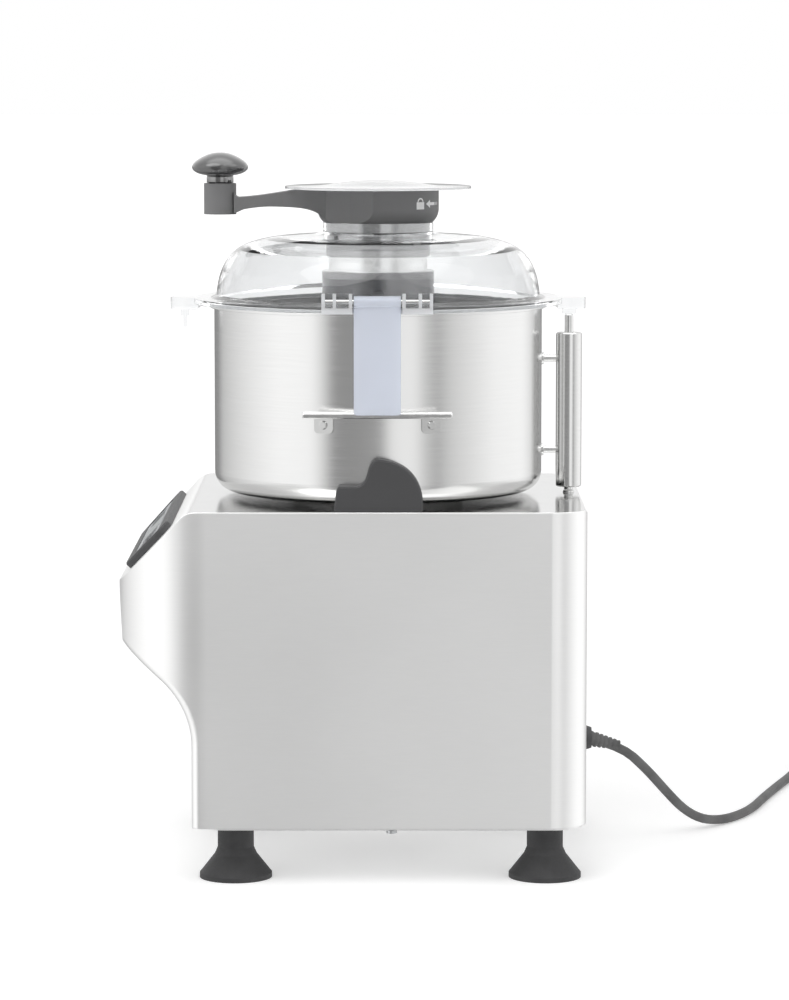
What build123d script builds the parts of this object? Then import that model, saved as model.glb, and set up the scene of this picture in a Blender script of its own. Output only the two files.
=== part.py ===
from build123d import *
import os
from math import asin, cos, degrees, radians, sin, sqrt, tan

os.makedirs("parts", exist_ok=True)

# A bench bowl cutter of the six-litre class. Millimetres, +Z up, the floor at zero.
# X runs from the control panel (minus) to the mains lead (plus), and Y across the machine.
# The origin lies under the middle of the machine, so the bowl's axis stands at bowl_x.

# Fits and clearances
running_gap = 0.1
slip_gap = 0.3
weld_gap = 0.05
lift_gap = 0.2

# Main sizes, which the others follow
bowl_radius = 120.0
handle_x = bowl_radius + 20.0
front_wall = -bowl_radius - 12.0
front_reach = 54.0 - front_wall
rear_reach = handle_x + 9.0
gland_reach = rear_reach + 9.0
bowl_x = (front_reach - gland_reach) / 2

# Base body
half_width = bowl_radius + 15.0
body_bottom = 41.0
body_top = 267.0
sheet = 1.5
knee_radius = 60.0
nose_low = (3.0 - front_reach, 169.0)
nose_high = (-front_reach, 212.0)
fold_x = front_wall - 3.0
fold_radius = 15.0
nose_round = 64.0
rear_round = 26.0
front_round = 6.0
tip_round = 3.0
hem_depth = 12.0

# Bottom plate, feet and their screws
plate = 1.5
plate_margin = 3.0
foot_height = body_bottom - plate
foot_front = front_wall + 30.0
foot_rear = rear_reach - 29.0
foot_y = half_width - 35.0
foot_neck = 13.0
foot_lip = 26.0
foot_recess = 8.0
screw_m6 = 3.0
screw_m4 = 2.0
head_m4 = 3.8
head_m4_thick = 2.2
hole_play = 0.3

# Control panel
bezel_proud = 5.0
bezel_low = 13.0
bezel_high = 58.0
bezel_half_low = half_width - 43.0
bezel_half_high = half_width - 19.0
window_margin = 9.0
panel_thick = 2.0

# Bowl
bowl_wall = 1.5
bowl_bottom = 270.0
bowl_rim = 406.0
bowl_round = 14.0
rim_roll = 3.0
column_radius = 16.0
column_wall = 1.5
column_top = 352.0

# Bowl handle and its safety rod
handle_radius = 9.5
handle_wall = 2.0
handle_low = 271.5
handle_high = 385.0
standoff_radius = 2.6
standoff_heights = (298.8, 366.0)
rod_radius = 3.2
rod_top = 398.4
bush_length = 12.0
plunger_radius = 4.0
plunger_proud = 2.0

# Catch bars on the bowl
bar_radius = 2.5
bar_half = 53.0
bar_y = bowl_radius + 7.0
bar_z = 335.0
tab_x = 40.0
tab_width = 14.0
tab_height = 14.0
tab_thick = 1.5

# Lid
lid_thick = 3.0
flange_radius = bowl_radius + 15.0
flange_low = 407.0
flange_high = 411.0
spigot_radius = bowl_radius - 2.5
spigot_wall = 2.5
spigot_low = 398.5
neck_radius = 40.3
neck_wall = 2.2
neck_top = 465.5
ear_reach = handle_x + 12.0
ear_width = 34.0
ear_low = 402.5
latch_half = 39.0
lever_half = 16.5
lever_thick = 3.0
lever_y = bar_y + 11.0
lever_low = 336.0
pin_radius = 1.5
pin_z = 415.5
barrel_radius = 4.0
lug_top = 421.0

# Crank, knob and feed cover
hub_radius = 44.4
hub_low = neck_top + slip_gap
hub_top = 490.0
hub_round = 9.5
hub_foot = 40.0
sleeve_radius = 36.0
sleeve_wall = 4.0
carrier_radius = 41.0
carrier_low = 408.0
carrier_high = 432.0
boss_x = -115.4
boss_radius = 11.8
boss_low = 471.5
boss_top = 494.0
knob_radius = 20.6
knob_neck = 9.8
knob_height = 22.2
knob_low = boss_top + slip_gap
knob_top = knob_low + knob_height
knob_pin_radius = 4.0
cover_radius = 68.0
cover_low = hub_top + slip_gap
cover_edge = 1.8

# Scraper
arm_angle = 90.0
arm_low = 409.0
arm_high = 417.0
post_radius = bowl_radius - 10.0
post_depth = 6.0
post_low = 284.0
blade_reach = bowl_radius - bowl_wall - 0.7
wiper_thick = 3.0

# Knife set
knife_radius = bowl_radius - 19.0
knife_hub_radius = 21.0
knife_thick = 2.5
knife_grind = 1.9
knife_low = 279.0
knife_step = 30.0
knife_hub_low = 275.0
knife_hub_top = column_top + 20.0

# Motor and shaft
shaft_radius = 10.0
shaft_low = 66.0
shaft_top = column_top + 17.0
shaft_flat = 8.0
casing_radius = 64.0
casing_wall = 5.0
motor_low = 100.0
motor_high = 222.0
stator_bore = 34.0
air_gap = 1.0
bearing_radius = 21.0
bearing_length = 12.0
bell_radius = 84.0
pillar_circle = 75.0
bracket_thick = 4.0
seat_radius = 62.0
seat_spigot = 30.7
fan_radius = 54.0

# Mains lead
gland_z = 84.0
gland_radius = 8.0
gland_hex = 11.0
gland_nose = 9.0
gland_collar = 5.0
gland_thread = 12.0
grip_depth = 0.2
cord_radius = 3.5
cord_rest = cord_radius + 0.2
coil_centre = (399.4, 342.0)
coil_turn = 48.4
coil_wide = 52.2
coil_bore = 28.6
coil_height = 14.6


bowl_axis = Axis((bowl_x, 0, 0), (0, 0, 1))


def level(z, x=0.0, y=0.0):
    """A horizontal plane at a height, with x and y counted from the bowl's axis."""
    return Plane((bowl_x + x, y, z))


def upright(y=0.0):
    """A plane that faces the near side: its own x is X from the bowl's axis, its own y is height."""
    return Plane((bowl_x, y, 0), x_dir=(1, 0, 0), z_dir=(0, -1, 0))


def disc(radius, low, high, bore=0.0, x=0.0, y=0.0, mode=Mode.ADD):
    """A disc or ring between two heights, in the piece that is being built."""
    with BuildSketch(level(low, x, y)) as outline:
        Circle(radius)
        if bore:
            Circle(bore, mode=Mode.SUBTRACT)
    extrude(outline.sketch, amount=high - low, mode=mode)


def discs(places, radius, low, high, mode=Mode.ADD):
    """The same disc at several places counted from the bowl's axis."""
    with BuildSketch(level(low)) as outline:
        with Locations(*places):
            Circle(radius)
    extrude(outline.sketch, amount=high - low, mode=mode)


def hexagons(places, radius, low, high, bore):
    """Hexagon nuts at several places counted from the bowl's axis."""
    with BuildSketch(level(low)) as outline:
        with Locations(*places):
            RegularPolygon(radius, 6)
            Circle(bore, mode=Mode.SUBTRACT)
    extrude(outline.sketch, amount=high - low)


def turned(points, mode=Mode.ADD):
    """A form turned about the bowl's axis, from a closed outline of radii and heights."""
    with BuildSketch(upright()) as outline:
        with BuildLine():
            Polyline(*points, close=True)
        make_face()
    revolve(outline.sketch, axis=bowl_axis, mode=mode)


def save(piece, name):
    """Labels a finished piece and writes it under its name."""
    piece.part.label = name
    export_step(piece.part, f"parts/{name}.step")


# The folded body: a side outline cut by a plan outline, drawn inside its sheet by an inset
knee_angle = 38.5
knee_z = nose_low[1] - (front_wall - nose_low[0]) * tan(radians(knee_angle))


def body_form(inset):
    """The body's closed form, inset from its outer faces by one amount on every side."""
    with BuildPart() as form:
        with BuildSketch(upright(half_width)) as side:
            with BuildLine():
                Polyline((front_wall, body_bottom), (front_wall, knee_z), nose_low, nose_high,
                         (fold_x, body_top), (rear_reach, body_top), (rear_reach, body_bottom), close=True)
            make_face()
            fillet(side.vertices().sort_by_distance((front_wall, knee_z))[:1], knee_radius)
            fillet(side.vertices().sort_by_distance((fold_x, body_top))[:1], fold_radius)
            fillet(side.vertices().sort_by_distance(nose_high)[:1], tip_round)
            fillet(side.vertices().sort_by_distance((rear_reach, body_top))[:1], tip_round)
            if inset:
                offset(amount=-inset)
        extrude(amount=2 * half_width)
        length = front_reach + rear_reach
        with BuildSketch(level(body_bottom - 1, (rear_reach - front_reach) / 2)) as plan:
            Rectangle(length - 2 * inset, 2 * (half_width - inset))
            fillet(plan.vertices().group_by(Axis.X)[0], nose_round - inset)
            fillet(plan.vertices().group_by(Axis.X)[-1], rear_round - inset)
        extrude(amount=body_top, mode=Mode.INTERSECT)
        # The lower front corners of the box, rounded on round the knee and along under the nose
        corners = form.edges().filter_by(Axis.Z).filter_by(
            lambda e: abs(e.center().X - bowl_x - front_wall - inset) < 0.5)
        fillet(corners, front_round - inset)
    return form.part


slope_angle = degrees(asin((body_top - nose_high[1]) / sqrt((body_top - nose_high[1]) ** 2
                                                             + (fold_x - nose_high[0]) ** 2)))
slope_dir = (cos(radians(slope_angle)), 0, sin(radians(slope_angle)))
slope_out = (-sin(radians(slope_angle)), 0, cos(radians(slope_angle)))


def slope_plane(lift=0.0):
    """The sloping face: its own x runs across the machine, its own y up the slope from the tip."""
    origin = (bowl_x + nose_high[0] + slope_out[0] * lift, 0, nose_high[1] + slope_out[2] * lift)
    return Plane(origin, x_dir=(0, -1, 0), z_dir=slope_out)


foot_places = [(x, y) for x in (foot_front, foot_rear) for y in (-foot_y, foot_y)]
hem_places = [(front_wall + 6, -60), (front_wall + 6, 60), (rear_reach - 6, -60), (rear_reach - 6, 60),
              (10, half_width - 6), (10, 6 - half_width)]
seat_screw_circle = seat_radius - 12.0
seat_screw_places = [(seat_screw_circle * cos(radians(a)), seat_screw_circle * sin(radians(a)))
                     for a in (45, 135, 225, 315)]
block_screw_places = [(x, y) for x in (-20, 20) for y in (8 - half_width, half_width - 8)]
pillar_places = [(pillar_circle * cos(radians(a)), pillar_circle * sin(radians(a))) for a in (0, 90, 180, 270)]

outer_form = body_form(0)
inner_form = body_form(sheet)

# Housing: folded sheet, hemmed inward at the bottom
with BuildPart() as housing:
    add(outer_form)
    add(inner_form, mode=Mode.SUBTRACT)
    with BuildSketch(level(body_bottom - 1)) as mouth:
        with Locations(((rear_reach + front_wall) / 2, 0)):
            RectangleRounded(rear_reach - front_wall - 2 * hem_depth, 2 * (half_width - hem_depth), 8)
    extrude(amount=sheet + 2, mode=Mode.SUBTRACT)
    disc(seat_spigot + slip_gap, body_top - 10, body_top + 1, mode=Mode.SUBTRACT)
    disc(plunger_radius + slip_gap, body_top - 10, body_top + 1, x=handle_x, mode=Mode.SUBTRACT)
    discs(seat_screw_places, screw_m4 + hole_play, body_top - 10, body_top + 1, mode=Mode.SUBTRACT)
    discs(block_screw_places, screw_m4 + hole_play, body_top - 10, body_top + 1, mode=Mode.SUBTRACT)
    discs(hem_places, screw_m4 + hole_play, body_bottom - 1, body_bottom + 5, mode=Mode.SUBTRACT)
    with BuildSketch(Plane((bowl_x + rear_reach - 5, 0, gland_z), x_dir=(0, 1, 0), z_dir=(1, 0, 0))):
        Circle(gland_radius + hole_play)
    extrude(amount=10, mode=Mode.SUBTRACT)
    with BuildSketch(slope_plane(-6)):
        with Locations((0, (bezel_low + bezel_high) / 2)):
            RectangleRounded(2 * (bezel_half_low - window_margin - 14), bezel_high - bezel_low - 26, 4)
    extrude(amount=12, mode=Mode.SUBTRACT)
save(housing, "housing")

# Bottom plate with feet holes and rows of air slots under the fan
slot_gap = 12.0
with BuildPart() as bottom_plate:
    with BuildSketch(level(foot_height)):
        with Locations(((rear_reach + front_wall) / 2, 0)):
            RectangleRounded(rear_reach - front_wall - 2 * plate_margin, 2 * (half_width - plate_margin), 20)
        with Locations(*foot_places):
            Circle(screw_m6 + hole_play, mode=Mode.SUBTRACT)
        with Locations(*hem_places):
            Circle(screw_m4 + hole_play, mode=Mode.SUBTRACT)
        with GridLocations(44, slot_gap, 2, 7):
            SlotOverall(36, 4, mode=Mode.SUBTRACT)
    extrude(amount=plate)
save(bottom_plate, "bottom_plate")

# Rubber feet: a plain neck, a flared skirt and a flat lip, hollow for the screw's head
with BuildPart() as rubber_feet:
    with BuildSketch(upright(-foot_y)) as foot_outline:
        with BuildLine():
            Polyline((screw_m6 + hole_play, foot_height), (foot_neck, foot_height), (foot_neck, 22),
                     (foot_neck + 2.2, 17), (foot_lip - 1.4, 5), (foot_lip, 3.4), (foot_lip, 0),
                     (foot_recess, 0), (foot_recess, 14), (screw_m6 + hole_play, 14), close=True)
        make_face()
    first_foot = revolve(foot_outline.sketch, axis=Axis((bowl_x, -foot_y, 0), (0, 0, 1)), mode=Mode.PRIVATE)
    for x, y in foot_places:
        add(first_foot.moved(Location((x, y + foot_y, 0))))
save(rubber_feet, "rubber_feet")

nut_m6 = 5.0
with BuildPart() as foot_screws:
    discs(foot_places, 6, 10, 14)
    discs(foot_places, screw_m6, 14, body_bottom + nut_m6 + 2)
    hexagons(foot_places, 5.8, body_bottom, body_bottom + nut_m6, screw_m6 + weld_gap)
save(foot_screws, "foot_screws")

# Pan-head screws: through the bottom plate's hem and up into the guide blocks
with BuildPart() as pan_screws:
    discs(hem_places, head_m4, foot_height - head_m4_thick, foot_height)
    discs(hem_places, screw_m4, foot_height, body_bottom + sheet + 4)
    discs(block_screw_places, head_m4, body_top - sheet - head_m4_thick, body_top - sheet)
    discs(block_screw_places, screw_m4, body_top - sheet, body_top + 8)
save(pan_screws, "pan_screws")

# Control panel: a raised frame on the slope, the display panel in it and the board behind it
panel_ledge = 1.6


def panel_outline(shrink):
    """The frame's tapered outline on the slope, drawn smaller by one amount."""
    low, high = bezel_low + shrink, bezel_high - shrink
    bottom, top = bezel_half_low - shrink, bezel_half_high - shrink
    return [(-bottom, low), (bottom, low), (top, high), (-top, high)]


with BuildPart() as control_bezel:
    with BuildSketch(slope_plane(0)) as frame_face:
        Polygon(*panel_outline(0), align=None)
        fillet(frame_face.vertices(), 9)
    extrude(amount=bezel_proud)
    chamfer(control_bezel.faces().sort_by(Axis(slope_plane().origin, slope_out))[-1].edges(), 1.2)
    with BuildSketch(slope_plane(-1)) as through:
        Polygon(*panel_outline(window_margin + panel_ledge), align=None)
        fillet(through.vertices(), 3)
    extrude(amount=bezel_proud + 2, mode=Mode.SUBTRACT)
    with BuildSketch(slope_plane(bezel_proud - panel_thick - 0.6)) as seat_cut:
        Polygon(*panel_outline(window_margin), align=None)
        fillet(seat_cut.vertices(), 4)
    extrude(amount=bezel_proud, mode=Mode.SUBTRACT)
save(control_bezel, "control_bezel")

with BuildPart() as display_panel:
    with BuildSketch(slope_plane(bezel_proud - panel_thick - 0.6)) as pane:
        Polygon(*panel_outline(window_margin + 0.2), align=None)
        fillet(pane.vertices(), 3.8)
    extrude(amount=panel_thick)
save(display_panel, "display_panel")

board_mid = (bezel_low + bezel_high) / 2
board_drop = 10.0
with BuildPart() as control_board:
    with BuildSketch(slope_plane(-sheet - board_drop)):
        with Locations((0, board_mid)):
            Rectangle(150, 40)
    extrude(amount=1.6)
    with BuildSketch(slope_plane(-sheet - board_drop + 1.6)):
        with Locations((-40, board_mid), (0, board_mid), (40, board_mid)):
            Rectangle(16, 12)
    extrude(amount=4)
    with BuildSketch(slope_plane(-sheet - board_drop + 1.6)):
        with Locations((0, board_mid)):
            with GridLocations(136, 30, 2, 2):
                Circle(3)
    extrude(amount=board_drop - 1.6)
save(control_board, "control_board")

# Bowl guide blocks: one on each side, hollowed at the back to the bowl's wall
block_outer = half_width - 2.0
block_depth = 22.0
block_chamfer = 1.0
with BuildPart() as bowl_lock_blocks:
    for side in (-1, 1):
        with BuildSketch(upright(-block_outer if side < 0 else block_outer - block_depth)) as profile:
            with BuildLine():
                Polyline((-31, body_top), (-29, 282), (-27.5, 285), (-15, 285))
                Spline((-15, 285), (-9, 289), (-6, 298), (-3, 303), (2, 304))
                Spline((2, 304), (14, 301), (23, 295), (30, 284), (31.5, body_top))
                Line((31.5, body_top), (-31, body_top))
            make_face()
        extrude(amount=-block_depth)
    outer_faces = [f for f in bowl_lock_blocks.faces() if abs(abs(f.center().Y) - block_outer) < 0.01]
    chamfer([e for f in outer_faces for e in f.edges() if e.center().Z > body_top + 1], block_chamfer)
    disc(bowl_radius + 0.6, body_top - 1, bowl_rim, mode=Mode.SUBTRACT)
    discs(block_screw_places, screw_m4 + weld_gap, body_top - 1, body_top + 9, mode=Mode.SUBTRACT)
save(bowl_lock_blocks, "bowl_lock_blocks")

# Bowl seat: a turned flange on the top plate with a spigot for the bowl's column
spigot_fit = column_radius - column_wall - slip_gap
shaft_clear = shaft_radius + 0.6
seat_top = bowl_bottom - lift_gap
with BuildPart() as bowl_seat:
    turned([(shaft_clear, 281), (spigot_fit - 1, 281), (spigot_fit, 280), (spigot_fit, seat_top),
            (seat_radius - 1, seat_top), (seat_radius, seat_top - 1), (seat_radius, body_top),
            (seat_spigot, body_top), (seat_spigot, 258), (18, 258), (18, 266), (shaft_clear, 266)])
    discs(seat_screw_places, screw_m4 + weld_gap, body_top - 1, seat_top + 1, mode=Mode.SUBTRACT)
save(bowl_seat, "bowl_seat")

with BuildPart() as seat_screws:
    discs(seat_screw_places, screw_m4, body_top - sheet - bracket_thick, seat_top - 0.1)
save(seat_screws, "seat_screws")

with BuildPart() as shaft_seal:
    disc(18 - weld_gap, 259, 266 - weld_gap, bore=shaft_radius + slip_gap)
save(shaft_seal, "shaft_seal")

# Motor: bracket, pillars, end bells, finned casing, stator, windings and bearings
bracket_top = body_top - sheet
bracket_low = bracket_top - bracket_thick
bell_thick = 14.0
with BuildPart() as motor_bracket:
    with BuildSketch(level(bracket_low)):
        RectangleRounded(200, 190, 10)
        Circle(seat_spigot + slip_gap, mode=Mode.SUBTRACT)
        with Locations(*pillar_places):
            Circle(screw_m6 + hole_play, mode=Mode.SUBTRACT)
        with Locations(*seat_screw_places):
            Circle(screw_m4 + weld_gap, mode=Mode.SUBTRACT)
    extrude(amount=bracket_thick)
save(motor_bracket, "motor_bracket")

with BuildPart() as motor_pillars:
    discs(pillar_places, 7, motor_high + bell_thick, bracket_low)
save(motor_pillars, "motor_pillars")


def end_bell(low, high, radius):
    """A motor end bell: a flange with a bearing pocket and a hole for the shaft."""
    disc(radius, low, high, bore=bearing_radius + weld_gap)
    disc(bearing_radius + 4, low, high, bore=bearing_radius + weld_gap)


with BuildPart() as end_bells:
    end_bell(motor_high, motor_high + bell_thick, bell_radius)
    end_bell(motor_low - bell_thick, motor_low, casing_radius)
save(end_bells, "end_bells")

with BuildPart() as bearings:
    for low in (motor_low - bearing_length, motor_high + 1):
        disc(bearing_radius, low, low + bearing_length, bore=shaft_radius + running_gap / 2)
save(bearings, "bearings")

fin_count = 24
with BuildPart() as motor_casing:
    disc(casing_radius - 6, motor_low, motor_high, bore=casing_radius - 6 - casing_wall)
    with BuildSketch(level(motor_low + 6)):
        with Locations((0, 0)):
            with PolarLocations(casing_radius - 3.2, fin_count):
                Rectangle(6.4, 2.4)
    extrude(amount=motor_high - motor_low - 12)
save(motor_casing, "motor_casing")

stator_outer = casing_radius - 6 - casing_wall - weld_gap
with BuildPart() as stator_core:
    disc(stator_outer, motor_low + 24, motor_high - 24, bore=stator_bore)
save(stator_core, "stator_core")

with BuildPart() as stator_windings:
    for low in (motor_low + 8, motor_high - 24):
        with BuildSketch(upright()) as coil_head:
            with Locations(((stator_outer + stator_bore) / 2 + 2, low + 8)):
                RectangleRounded(stator_outer - stator_bore - 8, 16, 5)
        revolve(coil_head.sketch, axis=bowl_axis)
save(stator_windings, "stator_windings")

# Turning set: shaft with two flats at its top, rotor and fan
with BuildPart() as drive_shaft:
    disc(shaft_radius, shaft_low, shaft_top)
    chamfer(drive_shaft.edges().sort_by(Axis.Z)[-1], 1)
    with BuildSketch(level(column_top - 8)):
        with Locations((0, shaft_flat + 5), (0, -shaft_flat - 5)):
            Rectangle(40, 10)
    extrude(amount=60, mode=Mode.SUBTRACT)
save(drive_shaft, "drive_shaft")

with BuildPart() as motor_rotor:
    disc(stator_bore - air_gap, motor_low + 22, motor_high - 22, bore=shaft_radius + weld_gap)
    disc(stator_bore - 5, motor_low + 16, motor_high - 16, bore=shaft_radius + weld_gap)
save(motor_rotor, "motor_rotor")

fan_low = shaft_low + 2
with BuildPart() as cooling_fan:
    disc(14, fan_low, fan_low + 16, bore=shaft_radius + weld_gap)
    disc(fan_radius, fan_low, fan_low + 2, bore=13)
    with BuildSketch(level(fan_low)):
        with PolarLocations(0, 9):
            with Locations(((fan_radius + 13) / 2, 0)):
                Rectangle(fan_radius - 13, 2, rotation=18)
    extrude(amount=14)
save(cooling_fan, "cooling_fan")

# Electrics on the bottom plate and the lid switch under the rod
floor_z = body_bottom
with BuildPart() as speed_controller:
    with BuildSketch(level(floor_z)):
        with Locations((front_wall + 36, 0)):
            RectangleRounded(46, 120, 2)
    extrude(amount=8)
    with BuildSketch(level(floor_z + 8)):
        with Locations((front_wall + 36, 0)):
            with GridLocations(6, 0, 8, 1):
                Rectangle(2, 120)
    extrude(amount=30)
save(speed_controller, "speed_controller")

capacitor_x = rear_reach - 45.0
with BuildPart() as run_capacitor:
    disc(18, floor_z, floor_z + 72, x=capacitor_x, y=52)
    fillet(run_capacitor.edges().filter_by(GeomType.CIRCLE), 2)
    disc(3, floor_z + 72, floor_z + 80, x=capacitor_x - 6, y=52)
    disc(3, floor_z + 72, floor_z + 80, x=capacitor_x + 6, y=52)
save(run_capacitor, "run_capacitor")

with BuildPart() as terminal_block:
    with BuildSketch(level(floor_z)):
        with Locations((rear_reach - 37, -48)):
            RectangleRounded(20, 60, 1.5)
    extrude(amount=22)
    with BuildSketch(level(floor_z + 12)):
        with Locations((rear_reach - 37, -48)):
            with GridLocations(0, 11, 1, 5):
                Circle(3.2)
    extrude(amount=12, mode=Mode.SUBTRACT)
save(terminal_block, "terminal_block")

switch_top = body_top - sheet - 12
with BuildPart() as safety_switch:
    with BuildSketch(level(switch_top - 16)):
        with Locations((handle_x - 3, 0)):
            RectangleRounded(18, 34, 2)
    extrude(amount=16)
    with BuildSketch(level(switch_top - 16)):
        with Locations((handle_x - 3, -23), (handle_x - 3, 23)):
            Rectangle(10, 12)
    extrude(amount=16 + 12)
save(safety_switch, "safety_switch")

with BuildPart() as switch_plunger:
    disc(plunger_radius, switch_top + 4, body_top + plunger_proud, x=handle_x)
    fillet(switch_plunger.edges().sort_by(Axis.Z)[-1], 1)
    disc(plunger_radius + 2.5, switch_top + 4, switch_top + 6, x=handle_x)
    disc(plunger_radius - 2, switch_top + slip_gap, switch_top + 4, x=handle_x)
save(switch_plunger, "switch_plunger")

# Cable gland in the rear wall
gland_plane = Plane((bowl_x + rear_reach, 0, gland_z), x_dir=(0, 1, 0), z_dir=(1, 0, 0))
cord_bore = cord_radius - grip_depth
with BuildPart() as cable_gland:
    with BuildSketch(gland_plane):
        RegularPolygon(gland_hex, 6)
    extrude(amount=gland_collar)
    with BuildSketch(gland_plane.offset(gland_collar)):
        Circle(gland_nose)
    extrude(amount=gland_reach - rear_reach - gland_collar, taper=18)
    with BuildSketch(gland_plane.offset(-gland_thread)):
        Circle(gland_radius)
    extrude(amount=gland_thread)
    with BuildSketch(gland_plane.offset(-gland_thread)):
        Circle(cord_bore)
    extrude(amount=gland_thread + gland_reach - rear_reach, mode=Mode.SUBTRACT)
save(cable_gland, "cable_gland")

with BuildPart() as gland_nut:
    with BuildSketch(gland_plane.offset(-sheet - gland_collar)):
        RegularPolygon(gland_hex, 6)
        Circle(gland_radius + weld_gap, mode=Mode.SUBTRACT)
    extrude(amount=gland_collar)
save(gland_nut, "gland_nut")

# Bowl: a drawn pan with a rolled rim and a centre column
inner_bowl = bowl_radius - bowl_wall
with BuildPart() as bowl:
    with BuildSketch(upright()) as bowl_outline:
        with BuildLine():
            Line((column_radius - column_wall, column_top), (column_radius - column_wall, bowl_bottom))
            Line((column_radius - column_wall, bowl_bottom), (bowl_radius - bowl_round, bowl_bottom))
            RadiusArc((bowl_radius - bowl_round, bowl_bottom), (bowl_radius, bowl_bottom + bowl_round),
                      -bowl_round)
            Polyline((bowl_radius, bowl_bottom + bowl_round), (bowl_radius, bowl_rim - 2),
                     (bowl_radius + rim_roll, bowl_rim - 2), (bowl_radius + rim_roll, bowl_rim),
                     (inner_bowl, bowl_rim), (inner_bowl, bowl_bottom + bowl_round))
            RadiusArc((inner_bowl, bowl_bottom + bowl_round),
                      (inner_bowl - bowl_round + bowl_wall, bowl_bottom + bowl_wall), bowl_round - bowl_wall)
            Polyline((inner_bowl - bowl_round + bowl_wall, bowl_bottom + bowl_wall),
                     (column_radius, bowl_bottom + bowl_wall), (column_radius, column_top),
                     (column_radius - column_wall, column_top))
        make_face()
    revolve(axis=bowl_axis)
save(bowl, "bowl")

# Bowl handle: a steel tube on two standoffs, bushed at both ends for the rod
with BuildPart() as handle_tube:
    disc(handle_radius, handle_low, handle_high, bore=handle_radius - handle_wall, x=handle_x)
    chamfer(handle_tube.edges().filter_by(GeomType.CIRCLE).filter_by(
        lambda e: abs(e.radius - handle_radius) < 0.01), 0.8)
save(handle_tube, "handle_tube")

with BuildPart() as handle_bushes:
    for low in (handle_low, handle_high - bush_length):
        disc(handle_radius - handle_wall - weld_gap, low, low + bush_length, bore=rod_radius + running_gap,
             x=handle_x)
save(handle_bushes, "handle_bushes")

with BuildPart() as handle_standoffs:
    for height in standoff_heights:
        with BuildSketch(Plane((bowl_x + bowl_radius - 4, 0, height), x_dir=(0, 1, 0), z_dir=(1, 0, 0))):
            Circle(standoff_radius)
        extrude(amount=handle_x - handle_radius - bowl_radius + 6)
        with BuildSketch(Plane((bowl_x + bowl_radius - 4, 0, height), x_dir=(0, 1, 0), z_dir=(1, 0, 0))):
            Circle(standoff_radius + 2)
        extrude(amount=4 + 1.5)
    disc(bowl_radius + weld_gap, bowl_bottom, bowl_rim, mode=Mode.SUBTRACT)
    disc(handle_radius + weld_gap, handle_low, handle_high, x=handle_x, mode=Mode.SUBTRACT)
save(handle_standoffs, "handle_standoffs")

with BuildPart() as safety_rod:
    disc(rod_radius, body_top + plunger_proud + slip_gap, rod_top, x=handle_x)
    fillet(safety_rod.edges().sort_by(Axis.Z)[-1], 1)
save(safety_rod, "safety_rod")

# Catch bars: a round bar in front of the bowl on two tabs that lie on its wall
tab_turn = degrees(asin(tab_x / bar_y))
tab_low = bar_z - tab_height
arm_length = bar_y / cos(radians(tab_turn)) - bowl_radius - 1


def tab_plane(turn):
    """A plane on the bowl's wall: its own x runs round the wall, its own y is height."""
    out = (cos(radians(turn)), sin(radians(turn)), 0)
    foot = bowl_radius + weld_gap
    return Plane((bowl_x + foot * out[0], foot * out[1], 0), x_dir=(-out[1], out[0], 0), z_dir=out)


tab_turns = [a + s * tab_turn for a in (-90, 90) for s in (-1, 1)]
stud_z = tab_low + 6
with BuildPart() as catch_bars:
    for side in (-1, 1):
        with BuildSketch(Plane((bowl_x - bar_half, side * bar_y, bar_z), x_dir=(0, 1, 0), z_dir=(1, 0, 0))):
            Circle(bar_radius)
        extrude(amount=2 * bar_half)
    fillet(catch_bars.edges().filter_by(GeomType.CIRCLE), 1.2)
    for turn in tab_turns:
        with BuildSketch(tab_plane(turn)):
            with Locations((0, bar_z - tab_height / 2)):
                RectangleRounded(tab_width, tab_height, 3)
            with Locations((0, stud_z)):
                Circle(screw_m4, mode=Mode.SUBTRACT)
        extrude(amount=tab_thick)
        with BuildSketch(tab_plane(turn)):
            with Locations((0, bar_z - tab_thick / 2)):
                Rectangle(tab_width - 6, tab_thick)
        extrude(amount=arm_length)
save(catch_bars, "catch_bars")

with BuildPart() as catch_nuts:
    for turn in tab_turns:
        with BuildSketch(tab_plane(turn)):
            with Locations((0, stud_z)):
                Circle(screw_m4 - weld_gap)
        extrude(amount=tab_thick)
        with BuildSketch(tab_plane(turn).offset(tab_thick)):
            with Locations((0, stud_z)):
                Circle(3.2)
        extrude(amount=2, taper=20)
save(catch_nuts, "catch_nuts")

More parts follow.
